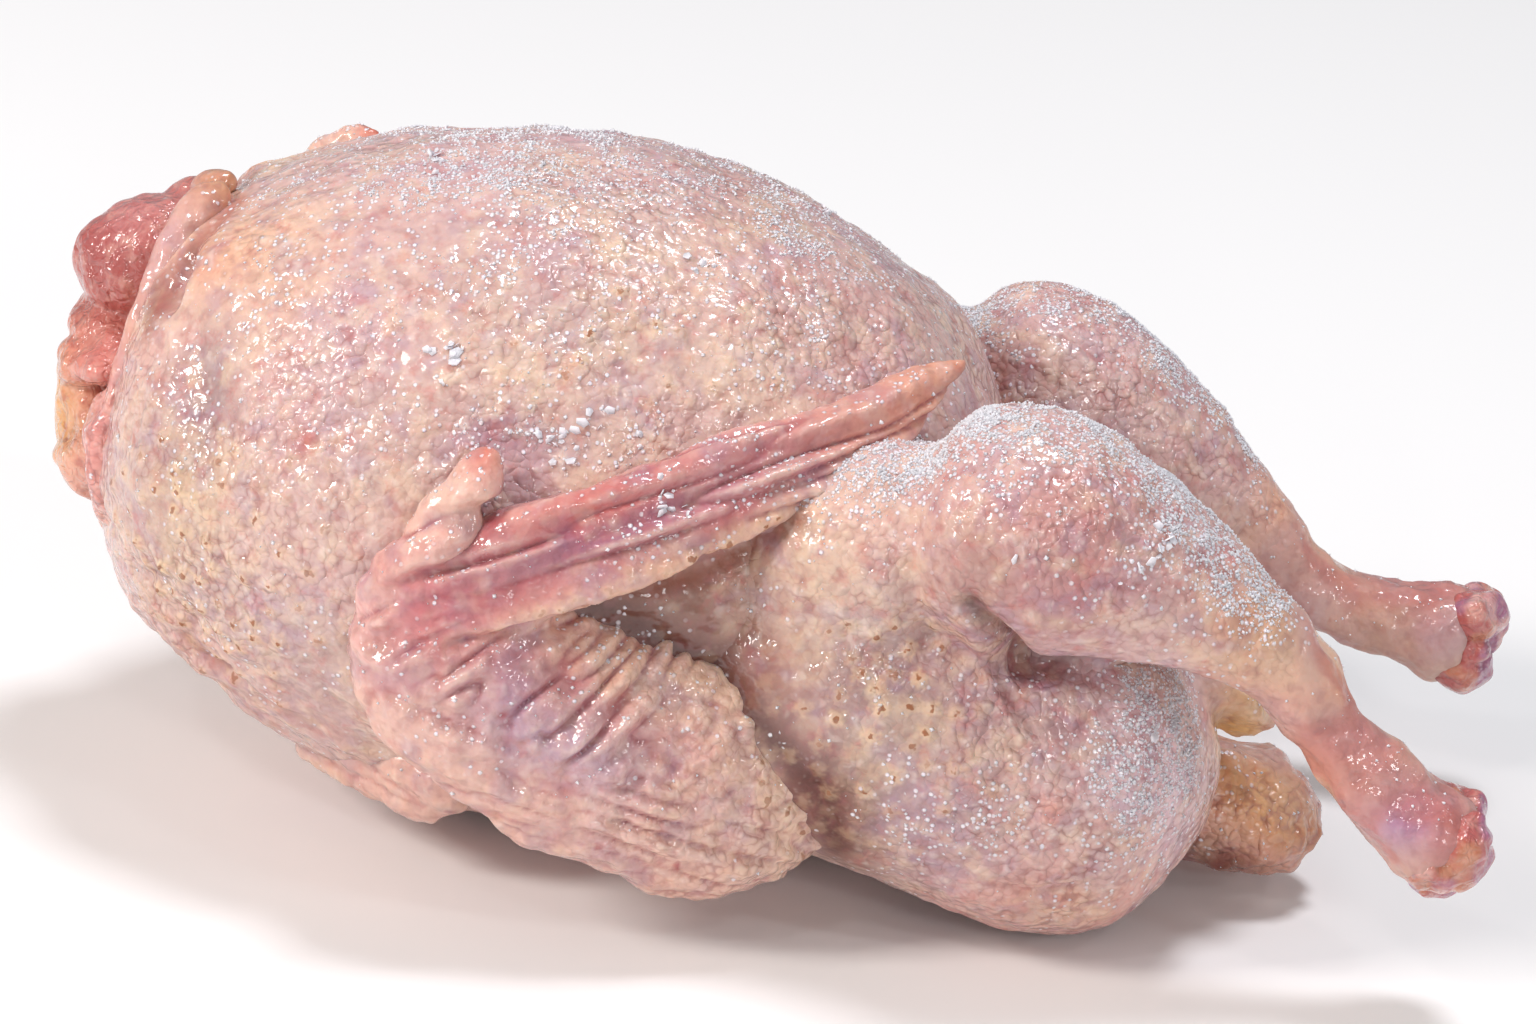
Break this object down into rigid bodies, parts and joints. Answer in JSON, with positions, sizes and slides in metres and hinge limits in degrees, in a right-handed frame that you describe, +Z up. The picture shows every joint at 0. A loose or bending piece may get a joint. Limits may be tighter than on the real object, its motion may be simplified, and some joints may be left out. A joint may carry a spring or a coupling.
{
  "type": "whole raw quail",
  "caption": "Whole raw plucked quail lying on its back, breast up, with folded wings, bare shanks cut at the hock, a short tail and cut neck flesh at the front.",
  "frame": {"origin": "under the middle of the bird's bounding box, on the surface that its back rests on", "axes": "+X from the cut neck to the hocks, +Z up from the back to the breast, -Y towards the near side, whose leg is drawn up higher"},
  "size_m": [0.1257, 0.0699, 0.0569],
  "materials": {
    "skin": "satin"
  },
  "bodies": {
    "root": {"quail": "skin"}
  },
  "joints": []
}
